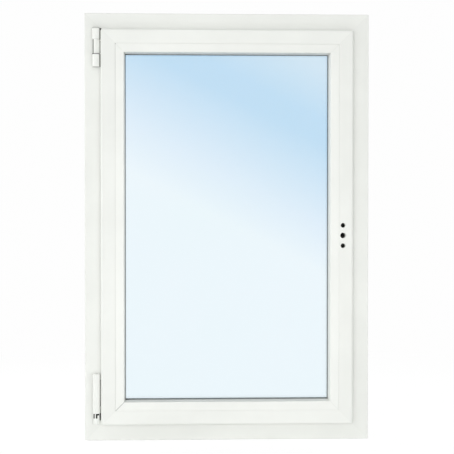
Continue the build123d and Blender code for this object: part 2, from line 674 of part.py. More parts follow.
def corner_hinge_cover():
    """The clip-on cap over the barrel, open behind for the leaf's neck."""
    cover = domed_round(HINGE_KNUCKLE, COVER_BOTTOM, COVER_TOP)
    cover -= hinge_round(BARREL_DIAMETER + 2 * COVER_PLAY, COVER_BOTTOM, BARREL_TOP + COVER_PLAY)
    v_axis = HINGE_Y - ROOM_FACE
    opening = block(
        HINGE_X - BARREL_DIAMETER / 2 - COVER_PLAY,
        HINGE_X + BARREL_DIAMETER / 2 + COVER_PLAY,
        v_axis + COVER_WRAP,
        0,
        COVER_BOTTOM,
        BARREL_TOP + COVER_PLAY,
    )
    return cover - opening


def sash_gasket():
    """The overlap seal, notched where the hinge leaves pass."""
    notches = []
    for middle, height in ((EYE_MIDDLE, HINGE_LEAF_HEIGHT), (CORNER_LEAF_MIDDLE, CORNER_LEAF_HEIGHT)):
        half = height / 2 + HINGE_JOINT_GAP
        notches.append(
            block(-WIDTH / 2, -WIDTH / 2 + BODY_EDGE, LIP_BACK - 4, 0, middle - half, middle + half)
        )
    return ring(sash_gasket_section()) - notches


def build():
    """Every piece of the window, by the name of its node."""
    frame = frame_section()
    bead = bead_section()
    pieces = {
        "frame_head": mitred_bar(frame, "top"),
        "frame_sill": mitred_bar(frame, "bottom") - drain_slots(),
        "frame_hinge_jamb": mitred_bar(frame, "hinge"),
        "frame_lock_jamb": mitred_bar(frame, "lock"),
        "frame_gasket": ring(frame_gasket_section()),
        "sash_top_rail": sash_bar("top"),
        "sash_bottom_rail": sash_bar("bottom"),
        "sash_hinge_stile": sash_bar("hinge"),
        "sash_lock_stile": sash_lock_stile(),
        "sash_gasket": sash_gasket(),
        "bead_top": mitred_bar(bead, "top", BEAD_MITRE_GAP),
        "bead_bottom": mitred_bar(bead, "bottom", BEAD_MITRE_GAP),
        "bead_hinge_side": mitred_bar(bead, "hinge", BEAD_MITRE_GAP),
        "bead_lock_side": mitred_bar(bead, "lock", BEAD_MITRE_GAP),
        "inner_glazing_gasket": glazing_gasket(
            SIGHT_LINE + GASKET_SHOWING, BEAD_BACK, INNER_PANE_FRONT
        ),
        "outer_glazing_gasket": glazing_gasket(
            SIGHT_LINE - OUTER_GASKET_SETBACK, OUTER_PANE_BACK, GLAZING_UPSTAND
        ),
        "inner_pane": pane(INNER_PANE_FRONT),
        "outer_pane": pane(OUTER_PANE_FRONT),
        "spacer_frame": plate_ring(
            GLASS_EDGE + SPACER_INSET,
            GLASS_EDGE + SPACER_INSET + SPACER_HEIGHT,
            INNER_PANE_BACK,
            OUTER_PANE_FRONT,
        ),
        "glazing_blocks": glazing_blocks(),
        "top_hinge_bracket": top_hinge_bracket(),
        "top_hinge_eye": top_hinge_eye(),
        "top_hinge_pin": top_hinge_pin(),
        "corner_bearing": corner_bearing(),
        "corner_bearing_bush": corner_bearing_bush(),
        "corner_pivot_pin": corner_pivot_pin(),
        "corner_hinge_barrel": corner_hinge_barrel(),
        "corner_hinge_cover": corner_hinge_cover(),
        "lock_gearbox": lock_gearbox(),
        "gear_follower": gear_follower(),
        "drain_cover_left": drain_cover(-DRAIN_SPREAD),
        "drain_cover_right": drain_cover(DRAIN_SPREAD),
    }
    return pieces


os.makedirs("parts", exist_ok=True)
for name, piece in build().items():
    piece.label = name
    export_step(piece, f"parts/{name}.step")
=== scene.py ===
import math

import bmesh
import bpy
import numpy as np
from mathutils import Matrix, Vector


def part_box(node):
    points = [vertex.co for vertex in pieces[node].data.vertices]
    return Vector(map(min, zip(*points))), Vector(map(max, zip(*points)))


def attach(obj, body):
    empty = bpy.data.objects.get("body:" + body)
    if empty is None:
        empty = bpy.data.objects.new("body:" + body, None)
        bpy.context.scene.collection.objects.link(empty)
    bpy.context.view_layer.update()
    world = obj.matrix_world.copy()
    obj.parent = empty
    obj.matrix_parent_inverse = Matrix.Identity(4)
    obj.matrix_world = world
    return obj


# A white PVC window with one sash, seen closed from the room. Metres, in the part's own frame.

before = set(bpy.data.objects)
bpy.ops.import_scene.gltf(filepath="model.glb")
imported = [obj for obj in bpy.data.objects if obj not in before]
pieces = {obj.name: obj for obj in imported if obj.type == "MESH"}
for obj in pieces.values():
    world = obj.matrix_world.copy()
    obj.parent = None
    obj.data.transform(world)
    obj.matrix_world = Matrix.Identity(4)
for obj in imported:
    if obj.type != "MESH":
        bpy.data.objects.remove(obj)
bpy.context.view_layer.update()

# Sizes of the window that its finishes and small pieces need. The beads start at the rebate, on
# which the glazing blocks stand
WINDOW_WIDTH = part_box("frame_sill")[1][0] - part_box("frame_sill")[0][0]
WINDOW_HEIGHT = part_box("frame_lock_jamb")[1][2]
ROOM_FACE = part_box("frame_sill")[0][1]
BEAD_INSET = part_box("glazing_blocks")[0][2]
SPACER_HEIGHT = 0.012
HANDLE_SCREW_PITCH = 0.043
SOCKET_SIDE = 0.007
CHAMBER_HALF_WIDTH = 0.012
CHAMBER_HALF_HEIGHT = 0.03
HINGE_PLATE_DEPTH = 0.0032
HINGE_PLATE_EDGE = -0.279
HINGE_PLATE_BLEND = 0.001

# Marks on bars and seals, with a painted shadow and painted light among them.
# A line or spot is full up to its core's distance, and gone at its edge's
WELD_CORE = 0.0004
WELD_EDGE = 0.0011
WELD_SHARE = 0.12
WELD_DEPTH = 0.0001
MITRE_CORE = 0.0005
MITRE_EDGE = 0.0012
OPEN_MITRE_SHARE = 0.9
CLOSED_MITRE_SHARE = 0.1
SPOT_CORE = 0.0012
SPOT_EDGE = 0.0024
SPOT_SHARE = 0.95
# Painted shadow in the left bead's joint, fainter towards the sill
SEAM_SHADOW_WIDTH = 0.0008
SEAM_SHADOW_LOW_END = 0.5
SEAM_SHADOW_LOW_SHARE = 0.25
SEAM_SHADOW_HIGH_END = 0.8
SEAM_SHADOW_HIGH_SHARE = 0.6
# Where the bead seal's painted light begins, away from the hinge side
SEAL_LIGHT_START = -0.213
SEAL_LIGHT_BLEND = 0.01

# Working marks of the bars and metals, in waves a metre along x, y and z
DRAW_LINES = {"x": (2.0, 700.0, 700.0), "z": (700.0, 700.0, 2.0)}
ROLLED_LINES = (3.0, 900.0, 3.0)
TURNED_LINES = (700.0, 700.0, 40.0)
CAST_GRAIN = (400.0, 400.0, 60.0)
CUT_LINES = (60.0, 900.0, 60.0)

# Clouds of tone and fine grain, in waves a metre
SKIN_CLOUDS = 9.0
SKIN_GRAIN = 900.0
PAINT_CLOUDS = 120.0
ORANGE_PEEL = 1400.0
SEAL_BLOOM = 60.0
SEAL_GRAIN = 1600.0
METAL_CLOUDS = 150.0
PLASTIC_CLOUDS = 90.0
PLASTIC_GRAIN = 2200.0
GLASS_CLOUDS = 3.0

# The range that a noise mostly covers, and the narrower one of the skin's faint clouds
NOISE_LOW = 0.3
NOISE_HIGH = 0.7
SKIN_CLOUD_LOW = 0.35
SKIN_CLOUD_HIGH = 0.65

# How much a cloud changes its colour: in levels on PVC, else as a share of them
DEEPER_PVC = 4
DEEPER_SEAL = 0.82
DEEPER_METAL = 0.86
DEEPER_SPACER = 0.97
PALER_PLASTIC = 1.35

# Roughness, at its smoothest and dullest spots
PVC_DULL = (0.30, 0.38)
PAINT_DULL = (0.16, 0.24)
SEAL_DULL = (0.62, 0.8)
PLASTIC_DULL = (0.5, 0.66)
METAL_SMOOTHER = 0.07
METAL_DULLER = 0.08
BARE_PLATE_DULLER = 0.25

# Height of the fine relief, in metres
SKIN_RELIEF = 0.00002
PAINT_RELIEF = 0.00003
SEAL_RELIEF = 0.00005
METAL_RELIEF = 0.00003
PLASTIC_RELIEF = 0.00004

# Refraction, sheen, and how much of the spacer's metal its coating leaves bare
PLASTIC_IOR = 1.5
SEAL_IOR = 1.52
GLASS_IOR = 1.5
COATING_IOR = 1.5
SEAL_SHEEN = 0.35
PLASTIC_SHEEN = 0.3
SPACER_BARE = 0.3

# Handle screw threads and the worn bevel, in the gear case
THREAD_PITCH = 0.0008
THREAD_ROOT = 0.0025
THREAD_HEIGHT = 0.00043
THREAD_OUTER = 0.00295
THREAD_INSET = 0.0002
THREAD_ANGLES = 36
THREAD_STEPS = 100
BEVEL_WIDTH = 0.0006
BEVEL_PLAY = 0.00002

# Slip bush and knuckle cap, on the top hinge
TURNED_ANGLES = 64
BUSH_BORE = 0.0032
BUSH_OUTER = 0.00796
BUSH_SKIRT = 0.00013
BUSH_THICKNESS = 0.0005
BUSH_HEIGHT = 0.0012
BUSH_PLAY = 0.00005
CAP_OUTER = 0.0077
CAP_HEIGHT = 0.0009
CAP_ROUND = 0.0004

# Butyl lines and slits, on the spacer
BUTYL_RADIUS = 0.0005
BUTYL_SUNK = 0.0001
SLIT_LENGTH = 0.0018
SLIT_WIDTH = 0.0005
SLIT_PITCH = 0.0045
SLIT_PROUD = 0.00003
SLIT_ROW_OFFSET = 0.004
SLIT_CORNERS = 8

# What the outlines of several pieces share
SQUARE_CORNERS = np.array([(-1, -1), (1, -1), (1, 1), (-1, 1)])
QUARTER_TURN = np.linspace(0, np.pi / 2, 6)
MERGE_DISTANCE = 0.000001

# Colours as they look in daylight, in sRGB from 0 to 255
# The PVC whites hold painted light and shade: level bars a shade lighter than upright ones, and the
# sash and beads lighter than the frame, for how the lamps light them
JAMB_WHITE = (243, 244, 240)
HEAD_WHITE = (245, 246, 242)
STILE_WHITE = (244, 245, 241)
RAIL_WHITE = (247, 248, 244)
BEAD_WHITE = (248, 249, 245)
HINGE_WHITE = (248, 249, 245)
HINGE_SHADE = (243, 244, 240)
# Bare hinge plate steel: painted light along its open left edge, painted shade in the gap by the
# sash
LIT_EDGE_STEEL = (142, 143, 140)
GAP_SHADE_STEEL = (52, 53, 51)
GAP_SHADE_STEEL_PALE = (66, 67, 65)
WELD_GREY = (214, 216, 211)
# Grey of the joints, also used for the painted shadow in the left bead's joint
JOINT_AND_SHADOW_GREY = (178, 181, 175)
SEAL_GREY = (74, 78, 78)
# The bead seal's paler grey, painted light where light falls on it
LIT_SEAL_GREY = (142, 146, 146)
OUTER_SEAL_GREY = (176, 181, 181)
SPACER_GREY = (218, 222, 224)
STEEL_GREY = (172, 172, 168)
THREAD_STEEL = (96, 96, 94)
BEVEL_STEEL = (150, 150, 146)
BUTYL_BLACK = (30, 31, 31)
SLIT_GREY = (70, 72, 73)
# Gear case and follower are near black as painted shade, for the depth of the handle holes they are
# seen through
ZINC_SHADE_BLACK = (30, 31, 30)
FOLLOWER_SHADE_GREY = (44, 44, 43)
BUSH_BLACK = (6, 6, 6)
# Painted shade for the chamber wall seen down the handle holes
CHAMBER_SHADE_BLACK = (12, 12, 12)
# The knuckle cap's grey is partly painted shade, for the shade line above the knuckle
CAP_SHADE_GREY = (172, 174, 170)
FLOAT_GLASS = (250, 254, 252)
PAPER_WHITE = (240, 241, 240)

# The painted reflection of the sky on the outer pane, by the height of its slanting run
HAZE_WHITE = (238, 248, 255)
PALE_SKY = (224, 239, 253)
DEEP_SKY = (188, 221, 246)
HIGH_SKY = (208, 230, 246)
SKY_SLANT = 0.52
PAINTED_SKY_IN_GLASS = (
    (0.46, HAZE_WHITE),
    (0.56, PALE_SKY),
    (0.735, DEEP_SKY),
    (0.785, DEEP_SKY),
    (0.90, HIGH_SKY),
)

# Studio. Its tints are linear ones, and the floor's finish changes from near to far
WHITE_LEVEL = 0.99
AMBIENT_LEVEL = 0.54
AMBIENT_TINT = (0.985, 1.0, 0.99, 1.0)
PLAIN_WHITE = (1.0, 1.0, 1.0, 1.0)
PANE_SHADOW = (0.94, 0.95, 0.95, 1.0)
FLOOR_HALF = 6.0
FLOOR_NEAR = 0.7
FLOOR_FAR = 1.7
FLOOR_GLOW = 1.1
FLOOR_SHADED_SHARE = 0.2
FLOOR_PAPER = (0.9, 0.9, 0.9, 1.0)
WINDOW_MIDDLE = (0.0, -0.03, 0.45)
SILL_MIDDLE = (0.0, -0.03, 0.08)

# The photograph's camera, with its sensor in millimetres and its roll in degrees
PICTURE_PIXELS = 454
FOCAL_PIXELS = 1419.38
SENSOR_WIDTH = 36.0
CAMERA_PLACE = (-0.1363, -3.0313, 0.5101)
CAMERA_AIM = (-0.000244, -0.035, 0.45074)
CAMERA_ROLL = 0.022


def linear(colour):
    """An sRGB colour of 0 to 255 as the linear one that a shader takes."""
    shares = np.array(colour, float) / 255
    low = shares / 12.92
    high = ((shares + 0.055) / 1.055) ** 2.4
    return (*np.where(shares <= 0.04045, low, high), 1.0)


class ShaderWork:
    """The shader nodes of a material or of the world, while they are put together."""

    def __init__(self, owner):
        owner.use_nodes = True
        self.tree = owner.node_tree
        self.tree.nodes.clear()

    def add(self, kind, **settings):
        """A node of a kind, with its settings."""
        made = self.tree.nodes.new(kind)
        for name, value in settings.items():
            setattr(made, name, value)
        return made

    def join(self, source, target):
        """Wire one socket to another."""
        self.tree.links.new(source, target)

    def give(self, socket, value):
        """Wire a socket to another one, or set it to a plain value."""
        if isinstance(value, bpy.types.NodeSocket):
            self.join(value, socket)
        else:
            socket.default_value = value

    def work(self, operation, *values):
        """The result of one step of arithmetic on sockets or plain values."""
        made = self.add("ShaderNodeMath", operation=operation)
        for socket, value in zip(made.inputs, values):
            self.give(socket, value)
        return made.outputs[0]

    def shader(self, kind, **values):
        """A shader node whose sockets are given by name."""
        made = self.add(kind)
        for name, value in values.items():
            self.give(made.inputs[name.replace("_", " ")], value)
        return made.outputs[0]

    def mix_shaders(self, share, first, second):
        """Two shaders mixed, with a share of the second."""
        made = self.add("ShaderNodeMixShader")
        self.give(made.inputs[0], share)
        self.join(first, made.inputs[1])
        self.join(second, made.inputs[2])
        return made.outputs[0]

    def show_to_camera(self, seen, plain):
        """One shader for the camera, mirrors and glass, another for all other rays."""
        path = self.add("ShaderNodeLightPath").outputs
        direct = self.work("MAXIMUM", path["Is Camera Ray"], path["Is Glossy Ray"])
        direct = self.work("MAXIMUM", direct, path["Is Transmission Ray"])
        return self.mix_shaders(direct, plain, seen)


class Finish(ShaderWork):
    """A material on Object coordinates, while it is put together."""

    def __init__(self, name):
        self.material = bpy.data.materials.new(name)
        super().__init__(self.material)
        self.place = self.add("ShaderNodeTexCoord").outputs["Object"]

    def axes(self):
        """The point's own x, y and z."""
        made = self.add("ShaderNodeSeparateXYZ")
        self.join(self.place, made.inputs[0])
        return made.outputs

    def stretched(self, scale):
        """Object coordinates stretched by a scale along each axis."""
        made = self.add("ShaderNodeMapping")
        self.join(self.place, made.inputs["Vector"])
        made.inputs["Scale"].default_value = scale
        return made.outputs["Vector"]

    def noise(self, scale, detail=2.0, roughness=0.5, where=None):
        """A noise of so many waves a metre, on plain or stretched coordinates."""
        made = self.add("ShaderNodeTexNoise")
        self.join(where or self.place, made.inputs["Vector"])
        made.inputs["Scale"].default_value = scale
        made.inputs["Detail"].default_value = detail
        made.inputs["Roughness"].default_value = roughness
        return made.outputs["Fac"]

    def spread(self, value, low, high, to_low, to_high, smooth=False):
        """A value in a range carried to another range, held at its ends."""
        made = self.add("ShaderNodeMapRange", clamp=True)
        if smooth:
            made.interpolation_type = "SMOOTHSTEP"
        for name, number in (
            ("Value", value), ("From Min", low), ("From Max", high),
            ("To Min", to_low), ("To Max", to_high),
        ):
            self.give(made.inputs[name], number)
        return made.outputs["Result"]

    def textured(self, noise, low, high):
        """A noise carried to a range, from the values that it mostly has."""
        return self.spread(noise, NOISE_LOW, NOISE_HIGH, low, high)

    def fading(self, distance, core, edge, share=1.0):
        """A share that is full up to the core's distance and falls softly to nought at the edge."""
        return self.spread(distance, core, edge, share, 0.0, smooth=True)

    def blend(self, share, first, second):
        """Two colours mixed, with a share of the second. They are the node's sockets 6 and 7."""
        made = self.add("ShaderNodeMix", data_type="RGBA")
        self.give(made.inputs[0], share)
        self.give(made.inputs[6], first)
        self.give(made.inputs[7], second)
        return made.outputs[2]

    def relief(self, height, distance, strength, below=None):
        """A bumped normal, on top of another one where there is one below."""
        made = self.add("ShaderNodeBump")
        made.inputs["Distance"].default_value = distance
        made.inputs["Strength"].default_value = strength
        self.join(height, made.inputs["Height"])
        if below is not None:
            self.join(below, made.inputs["Normal"])
        return made.outputs["Normal"]

    def surface(self, **values):
        """The Principled shader with its sockets given by name."""
        return self.shader("ShaderNodeBsdfPrincipled", **values)

    def done(self, shader):
        """The finished material with this shader on its surface."""
        self.join(shader, self.add("ShaderNodeOutputMaterial").inputs["Surface"])
        return self.material


def middle_of(name):
    """The middle of a CAD piece's box."""
    low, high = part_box(name)
    return [(start + end) / 2 for start, end in zip(low, high)]


def from_corner_mitre(finish):
    """How far a point is from the 45 degree line of the nearest corner's joint.

    | (half the width - |x|) - min(z, height - z) |, which is 0 on the mitre.
    """
    x, _, z = finish.axes()
    side = finish.work("SUBTRACT", WINDOW_WIDTH / 2, finish.work("ABSOLUTE", x))
    end = finish.work("MINIMUM", z, finish.work("SUBTRACT", WINDOW_HEIGHT, z))
    return finish.work("ABSOLUTE", finish.work("SUBTRACT", side, end))


def behind_gearbox(finish):
    """One on the chamber wall behind the gear case, which the handle holes show and where shade is
    painted, else nought.
    """
    x, y, z = finish.axes()
    middle = middle_of("gear_follower")
    aside = finish.work("ABSOLUTE", finish.work("SUBTRACT", x, middle[0]))
    rise = finish.work("ABSOLUTE", finish.work("SUBTRACT", z, middle[2]))
    near = finish.work(
        "MULTIPLY", finish.work("LESS_THAN", aside, CHAMBER_HALF_WIDTH),
        finish.work("LESS_THAN", rise, CHAMBER_HALF_HEIGHT),
    )
    deep = finish.work(
        "MULTIPLY", finish.work("GREATER_THAN", y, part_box("gear_follower")[1][1]),
        finish.work("LESS_THAN", y, 0.0),
    )
    return finish.work("MULTIPLY", near, deep)


def extruded_skin(name, colour, along):
    """What all extruded PVC shares: a faint cloud of tone, and draw lines along the bar."""
    finish = Finish(name)
    cloud = finish.noise(SKIN_CLOUDS, detail=3.0)
    cloud = finish.spread(cloud, SKIN_CLOUD_LOW, SKIN_CLOUD_HIGH, 0.0, 1.0)
    shade = [channel - DEEPER_PVC for channel in colour]
    tone = finish.blend(cloud, linear(shade), linear(colour))
    lines = finish.noise(1.0, where=finish.stretched(DRAW_LINES[along]))
    roughness = finish.textured(lines, *PVC_DULL)
    grain = finish.work("ADD", lines, finish.noise(SKIN_GRAIN))
    normal = finish.relief(grain, SKIN_RELIEF, strength=0.5)
    return finish, tone, roughness, normal


def soft_gloss(finish, tone, roughness, normal):
    """The extruded PVC's surface."""
    return finish.done(finish.surface(
        Base_Color=tone, Roughness=roughness, Normal=normal, IOR=PLASTIC_IOR,
    ))


def extruded_pvc(name, colour, along, welded=True, gear_chamber_shade=False):
    """White PVC from an extruder: soft gloss, draw lines, and a scraped weld at each mitre."""
    finish, tone, roughness, normal = extruded_skin(name, colour, along)
    if welded:
        seam = finish.fading(from_corner_mitre(finish), WELD_CORE, WELD_EDGE)
        tone = finish.blend(finish.work("MULTIPLY", seam, WELD_SHARE), tone, linear(WELD_GREY))
        sunk = finish.work("MULTIPLY", seam, -1.0)
        normal = finish.relief(sunk, WELD_DEPTH, strength=0.3, below=normal)
    # Painted shade: the chamber wall behind the gear case, seen down the handle holes, is near
    # black
    if gear_chamber_shade:
        tone = finish.blend(behind_gearbox(finish), tone, linear(CHAMBER_SHADE_BLACK))
    return soft_gloss(finish, tone, roughness, normal)


def bead_pvc(name, along):
    """The beads' PVC, with the grey line of the open mitre at the lower left corner.

    The line lies along the mitre. It is strong where x and z are low, and faint at the other three
    corners. A small grey spot marks the upper left corner, and a painted shadow fills the joint
    below it, fainter towards the sill.
    """
    finish, tone, roughness, normal = extruded_skin(name, BEAD_WHITE, along)
    x, _, z = finish.axes()
    left = finish.work("LESS_THAN", x, 0.0)
    low = finish.work("LESS_THAN", z, WINDOW_HEIGHT / 2)
    share = finish.work(
        "MULTIPLY_ADD", finish.work("MULTIPLY", left, low),
        OPEN_MITRE_SHARE - CLOSED_MITRE_SHARE, CLOSED_MITRE_SHARE,
    )
    mitre = finish.work(
        "MULTIPLY", finish.fading(from_corner_mitre(finish), MITRE_CORE, MITRE_EDGE), share,
    )
    bead_start = BEAD_INSET - WINDOW_WIDTH / 2
    flat = finish.add("ShaderNodeCombineXYZ")
    finish.join(x, flat.inputs["X"])
    finish.join(z, flat.inputs["Z"])
    away = finish.add("ShaderNodeVectorMath", operation="DISTANCE")
    finish.join(flat.outputs[0], away.inputs[0])
    away.inputs[1].default_value = (bead_start, 0.0, WINDOW_HEIGHT - BEAD_INSET)
    spot = finish.fading(away.outputs["Value"], SPOT_CORE, SPOT_EDGE, SPOT_SHARE)
    # Painted shadow in the left bead's joint, fainter towards the sill
    joint = finish.work("LESS_THAN", x, bead_start + SEAM_SHADOW_WIDTH)
    seam_shadow = finish.spread(
        z, SEAM_SHADOW_LOW_END, SEAM_SHADOW_HIGH_END, SEAM_SHADOW_LOW_SHARE, SEAM_SHADOW_HIGH_SHARE, smooth=True,
    )
    spot_and_seam_shadow = finish.work("MAXIMUM", spot, finish.work("MULTIPLY", joint, seam_shadow))
    tone = finish.blend(finish.work("MAXIMUM", mitre, spot_and_seam_shadow), tone, linear(JOINT_AND_SHADOW_GREY))
    return soft_gloss(finish, tone, roughness, normal)


def painted_hinge(name):
    """White powder coat with a fine orange peel, and bare steel on the screwed plates.

    The plates are what lies within HINGE_PLATE_DEPTH of the frame's room face. Their steel is
    painted light along their open left edge, and painted shade in the gap beside the sash.
    """
    finish = Finish(name)
    peel = finish.noise(ORANGE_PEEL, detail=1.0)
    cloud = finish.noise(PAINT_CLOUDS)
    x, y, _ = finish.axes()
    paint = finish.blend(cloud, linear(HINGE_SHADE), linear(HINGE_WHITE))
    # Painted shade on the plate steel in the gap beside the sash, painted light along its open left
    # edge
    gap_shade_steel = finish.blend(cloud, linear(GAP_SHADE_STEEL), linear(GAP_SHADE_STEEL_PALE))
    lit_edge = finish.fading(x, HINGE_PLATE_EDGE - HINGE_PLATE_BLEND, HINGE_PLATE_EDGE)
    steel = finish.blend(lit_edge, gap_shade_steel, linear(LIT_EDGE_STEEL))
    bare = finish.work("GREATER_THAN", y, ROOM_FACE - HINGE_PLATE_DEPTH)
    gloss = finish.textured(peel, *PAINT_DULL)
    return finish.done(finish.surface(
        Base_Color=finish.blend(bare, paint, steel), Metallic=bare, IOR=PLASTIC_IOR,
        Roughness=finish.work("MULTIPLY_ADD", bare, BARE_PLATE_DULLER, gloss),
        Normal=finish.relief(peel, PAINT_RELIEF, strength=0.4),
    ))


def rubber(name, colour, lit_colour=None):
    """Matt EPDM seal with a faint bloom and fine grain.

    A paler colour, painted light, takes over away from the hinge side, where light falls on the
    seal.
    """
    finish = Finish(name)
    grain = finish.noise(SEAL_GRAIN, detail=3.0, roughness=0.6)
    bloom = finish.textured(finish.noise(SEAL_BLOOM, detail=3.0), 0.0, 1.0)
    deeper = [channel * DEEPER_SEAL for channel in colour]
    tone = finish.blend(bloom, linear(deeper), linear(colour))
    if lit_colour:
        x, _, _ = finish.axes()
        lit_share = finish.spread(x, SEAL_LIGHT_START, SEAL_LIGHT_START + SEAL_LIGHT_BLEND, 0.0, 1.0, smooth=True)
        tone = finish.blend(lit_share, tone, linear(lit_colour))
    return finish.done(finish.surface(
        Base_Color=tone, Roughness=finish.textured(grain, *SEAL_DULL),
        Normal=finish.relief(grain, SEAL_RELIEF, strength=0.5),
        IOR=SEAL_IOR, Specular_IOR_Level=SEAL_SHEEN,
    ))


def metal(name, colour, marks, dull, deeper=DEEPER_METAL, bare=1.0):
    """Plated, cast or rolled metal with fine working marks.

    Its darkest clouds have the deeper share of its colour. A milky coating leaves only a share of
    it bare.
    """
    finish = Finish(name)
    cloud = finish.noise(METAL_CLOUDS, detail=4.0, roughness=0.6)
    shade = [channel * deeper for channel in colour]
    tone = finish.blend(finish.textured(cloud, 0.0, 1.0), linear(shade), linear(colour))
    lines = finish.noise(1.0, detail=3.0, where=finish.stretched(marks))
    return finish.done(finish.surface(
        Base_Color=tone, Metallic=bare, IOR=COATING_IOR,
        Roughness=finish.textured(lines, dull - METAL_SMOOTHER, dull + METAL_DULLER),
        Normal=finish.relief(lines, METAL_RELIEF, strength=0.5),
    ))


def hard_plastic(name, colour):
    """Moulded plastic with a fine spark-eroded grain."""
    finish = Finish(name)
    grain = finish.noise(PLASTIC_GRAIN)
    paler = [min(255, channel * PALER_PLASTIC) for channel in colour]
    tone = finish.blend(finish.noise(PLASTIC_CLOUDS), linear(colour), linear(paler))
    return finish.done(finish.surface(
        Base_Color=tone, Roughness=finish.textured(grain, *PLASTIC_DULL),
        Normal=finish.relief(grain, PLASTIC_RELIEF, strength=0.5),
        IOR=PLASTIC_IOR, Specular_IOR_Level=PLASTIC_SHEEN,
    ))


def pane(finish, tone):
    """A clear pane of a tone, which casts only a faint shadow, as a real one does."""
    glass = finish.surface(Base_Color=tone, Roughness=0.0, IOR=GLASS_IOR, Transmission_Weight=1.0)
    lamps_pass = finish.shader("ShaderNodeBsdfTransparent", Color=PANE_SHADOW)
    shadow_ray = finish.add("ShaderNodeLightPath").outputs["Is Shadow Ray"]
    return finish.done(finish.mix_shaders(shadow_ray, glass, lamps_pass))


def clear_glass(name):
    """Float glass with a breath of tone from its body."""
    finish = Finish(name)
    cloud = finish.noise(GLASS_CLOUDS)
    return pane(finish, finish.blend(cloud, linear(FLOAT_GLASS), PLAIN_WHITE))


def painted_sky_glass(name):
    """The outer pane, tinted with a painted reflection of the sky: deepest on a slanting band,
    fading below it.

    The run goes by z + SKY_SLANT x, which is level along lines that fall to the right.
    """
    finish = Finish(name)
    x, _, z = finish.axes()
    run = finish.work("MULTIPLY_ADD", x, SKY_SLANT, z)
    low, high = PAINTED_SKY_IN_GLASS[0][0], PAINTED_SKY_IN_GLASS[-1][0]
    ramp = finish.add("ShaderNodeValToRGB")
    stops = ramp.color_ramp.elements
    while len(stops) < len(PAINTED_SKY_IN_GLASS):
        stops.new(0.5)
    for stop, (level, colour) in zip(stops, PAINTED_SKY_IN_GLASS):
        stop.position = (level - low) / (high - low)
        stop.color = linear(colour)
    finish.join(finish.spread(run, low, high, 0.0, 1.0), ramp.inputs[0])
    return pane(finish, ramp.outputs["Color"])


def dress(material, *names):
    """Put a finish on CAD pieces, on every slot they have."""
    for name in names:
        slots = pieces[name].material_slots
        if not slots:
            pieces[name].data.materials.append(material)
        for slot in slots:
            slot.material = material


dress(extruded_pvc("pvc_level_frame", HEAD_WHITE, "x"), "frame_head", "frame_sill")
dress(extruded_pvc("pvc_upright_frame", JAMB_WHITE, "z"), "frame_hinge_jamb", "frame_lock_jamb")
dress(extruded_pvc("pvc_level_sash", RAIL_WHITE, "x"), "sash_top_rail", "sash_bottom_rail")
dress(
    extruded_pvc("pvc_upright_sash", STILE_WHITE, "z", gear_chamber_shade=True),
    "sash_hinge_stile", "sash_lock_stile",
)
dress(bead_pvc("pvc_level_bead", "x"), "bead_top", "bead_bottom")
dress(bead_pvc("pvc_upright_bead", "z"), "bead_hinge_side", "bead_lock_side")
dress(
    extruded_pvc("pvc_drain_cover", HEAD_WHITE, "x", welded=False),
    "drain_cover_left", "drain_cover_right",
)
dress(rubber("bead_seal", SEAL_GREY, LIT_SEAL_GREY), "inner_glazing_gasket")
dress(rubber("outer_glazing_seal", OUTER_SEAL_GREY), "outer_glazing_gasket")
dress(rubber("weather_seal", SEAL_GREY), "frame_gasket", "sash_gasket")
dress(clear_glass("inner_float_glass"), "inner_pane")
dress(painted_sky_glass("outer_glass_painted_sky"), "outer_pane")
dress(
    metal(
        "spacer_aluminium", SPACER_GREY, ROLLED_LINES, dull=0.45,
        deeper=DEEPER_SPACER, bare=SPACER_BARE,
    ),
    "spacer_frame",
)
dress(
    painted_hinge("hinge_powder_coat"),
    "top_hinge_bracket", "top_hinge_eye", "corner_bearing", "corner_hinge_cover",
)
dress(
    metal("zinc_plated_steel", STEEL_GREY, TURNED_LINES, dull=0.3),
    "top_hinge_pin", "corner_pivot_pin", "corner_hinge_barrel",
)
# Near black metals: painted shade down the handle holes
dress(metal("die_cast_zinc", ZINC_SHADE_BLACK, CAST_GRAIN, dull=0.45), "lock_gearbox")
dress(metal("sintered_steel", FOLLOWER_SHADE_GREY, CUT_LINES, dull=0.35), "gear_follower")
dress(hard_plastic("black_bush_plastic", BUSH_BLACK), "corner_bearing_bush", "glazing_blocks")


def add_piece(name, points, quads, material):
    """A piece on the window from an array of points and the four point numbers of each face."""
    mesh = bpy.data.meshes.new(name)
    mesh.from_pydata(points.reshape(-1, 3).tolist(), [], quads.tolist())
    shape = bmesh.new()
    shape.from_mesh(mesh)
    bmesh.ops.remove_doubles(shape, verts=shape.verts, dist=MERGE_DISTANCE)
    bmesh.ops.recalc_face_normals(shape, faces=shape.faces)
    shape.to_mesh(mesh)
    shape.free()
    mesh.materials.append(material)
    piece = bpy.data.objects.new(name, mesh)
    bpy.context.scene.collection.objects.link(piece)
    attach(piece, "root")


def ring_quads(rows, columns):
    """The faces of a grid that closes both ways, as the skin of a ring does."""
    numbers = np.arange(rows * columns).reshape(rows, columns)
    down = np.roll(numbers, -1, axis=0)
    corners = [numbers, np.roll(numbers, -1, axis=1), np.roll(down, -1, axis=1), down]
    return np.stack(corners, axis=-1).reshape(-1, 4)


def round_angles(count):
    """Angles all the way round, as a column."""
    return np.linspace(0, 2 * np.pi, count, endpoint=False)[:, None]


